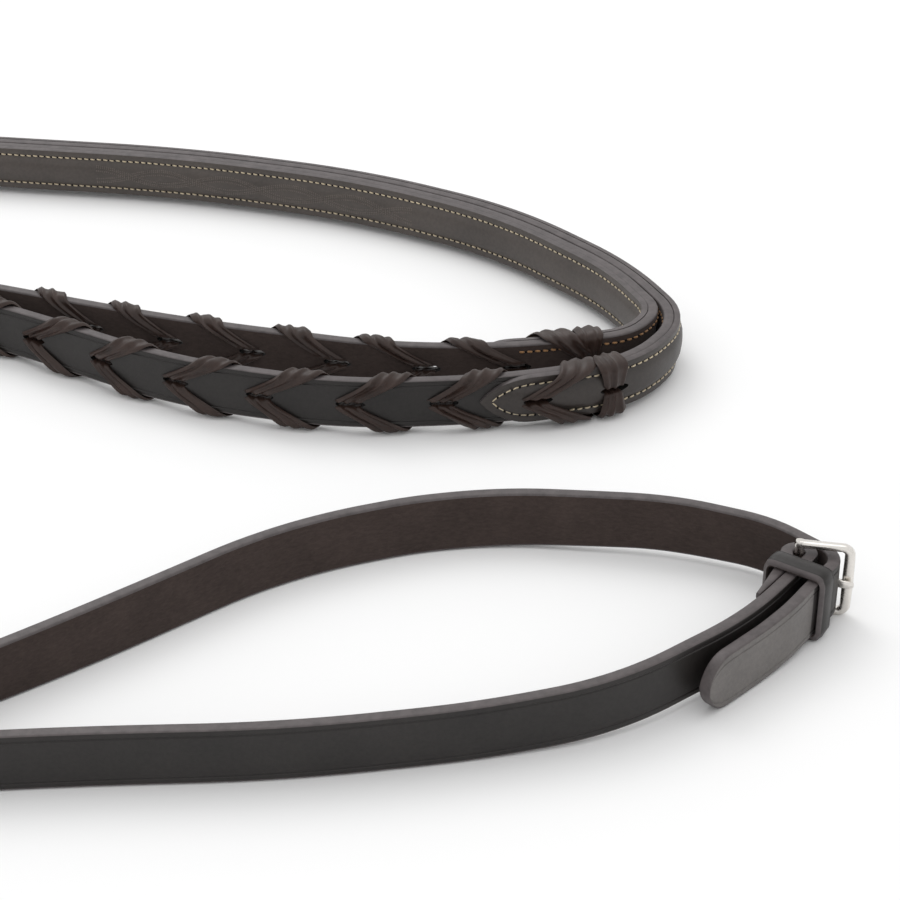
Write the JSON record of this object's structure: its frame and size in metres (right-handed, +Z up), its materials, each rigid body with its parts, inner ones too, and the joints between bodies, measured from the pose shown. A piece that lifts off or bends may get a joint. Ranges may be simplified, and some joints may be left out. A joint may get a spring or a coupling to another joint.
{
  "type": "laced snaffle reins",
  "caption": "Pair of raised, fancy stitched and laced leather reins on edge in an S, with hook stud bit ends and a centre buckle.",
  "frame": {"origin": "centre of the bounding box on the surface that the straps stand on", "axes": "+Z up, across the straps' width; +X along the length of the S, from the unseen turn towards the buckle"},
  "size_m": [0.4486, 0.398, 0.022],
  "materials": {
    "havana_leather": "waxed smooth grain side, matt brown flesh side",
    "core_leather": "undyed padding strip",
    "lace_leather": "soft satin lace leather",
    "waxed_thread": "waxed cream thread",
    "silvered_metal": "soft polished nickel silver"
  },
  "bodies": {
    "reins": {"left_strap": "havana_leather", "left_raised_cover": "havana_leather", "left_raised_filler": "core_leather", "left_cover_stitching": "waxed_thread", "left_fancy_stitching": "waxed_thread", "left_upper_lace": "lace_leather", "left_lower_lace": "lace_leather", "right_strap": "havana_leather", "right_raised_cover": "havana_leather", "right_raised_filler": "core_leather", "right_cover_stitching": "waxed_thread", "right_fancy_stitching": "waxed_thread", "right_upper_lace": "lace_leather", "right_lower_lace": "lace_leather", "buckle_keeper": "havana_leather", "turn_back_stitching": "waxed_thread"},
    "left_bit_end": {"left_bit_end_strap": "havana_leather", "left_hook_stud": "silvered_metal", "left_stud_burr": "silvered_metal", "left_near_bit_keeper": "havana_leather", "left_far_bit_keeper": "havana_leather"},
    "right_bit_end": {"right_bit_end_strap": "havana_leather", "right_hook_stud": "silvered_metal", "right_stud_burr": "silvered_metal", "right_near_bit_keeper": "havana_leather", "right_far_bit_keeper": "havana_leather"},
    "rein_tip": {"right_strap_tip": "havana_leather"},
    "buckle": {"buckle_frame": "silvered_metal"},
    "prong": {"buckle_prong": "silvered_metal"}
  },
  "joints": [
    {"name": "right_bit_end_flex", "type": "hinge", "parent": "reins", "child": "right_bit_end", "pos_m": [-0.1164, 0.18506, 0.0104], "axis": [0, 0, -1], "range_deg": [0, 25]},
    {"name": "left_bit_end_flex", "type": "hinge", "parent": "reins", "child": "left_bit_end", "pos_m": [-0.11602, 0.17069, 0.0104], "axis": [0, 0, 1], "range_deg": [0, 25]},
    {"name": "tip_flex", "type": "hinge", "parent": "reins", "child": "rein_tip", "pos_m": [0.21111, -0.13446, 0.0104], "axis": [0, 0, 1], "range_deg": [0, 25]},
    {"name": "buckle_hinge", "type": "hinge", "parent": "reins", "child": "buckle", "pos_m": [0.20957, -0.11685, 0.0104], "axis": [0, 0, 1], "range_deg": [-8, 8]},
    {"name": "prong_hinge", "type": "hinge", "parent": "buckle", "child": "prong", "pos_m": [0.20957, -0.11685, 0.0104], "axis": [0, 0, -1], "range_deg": [0, 8]}
  ]
}
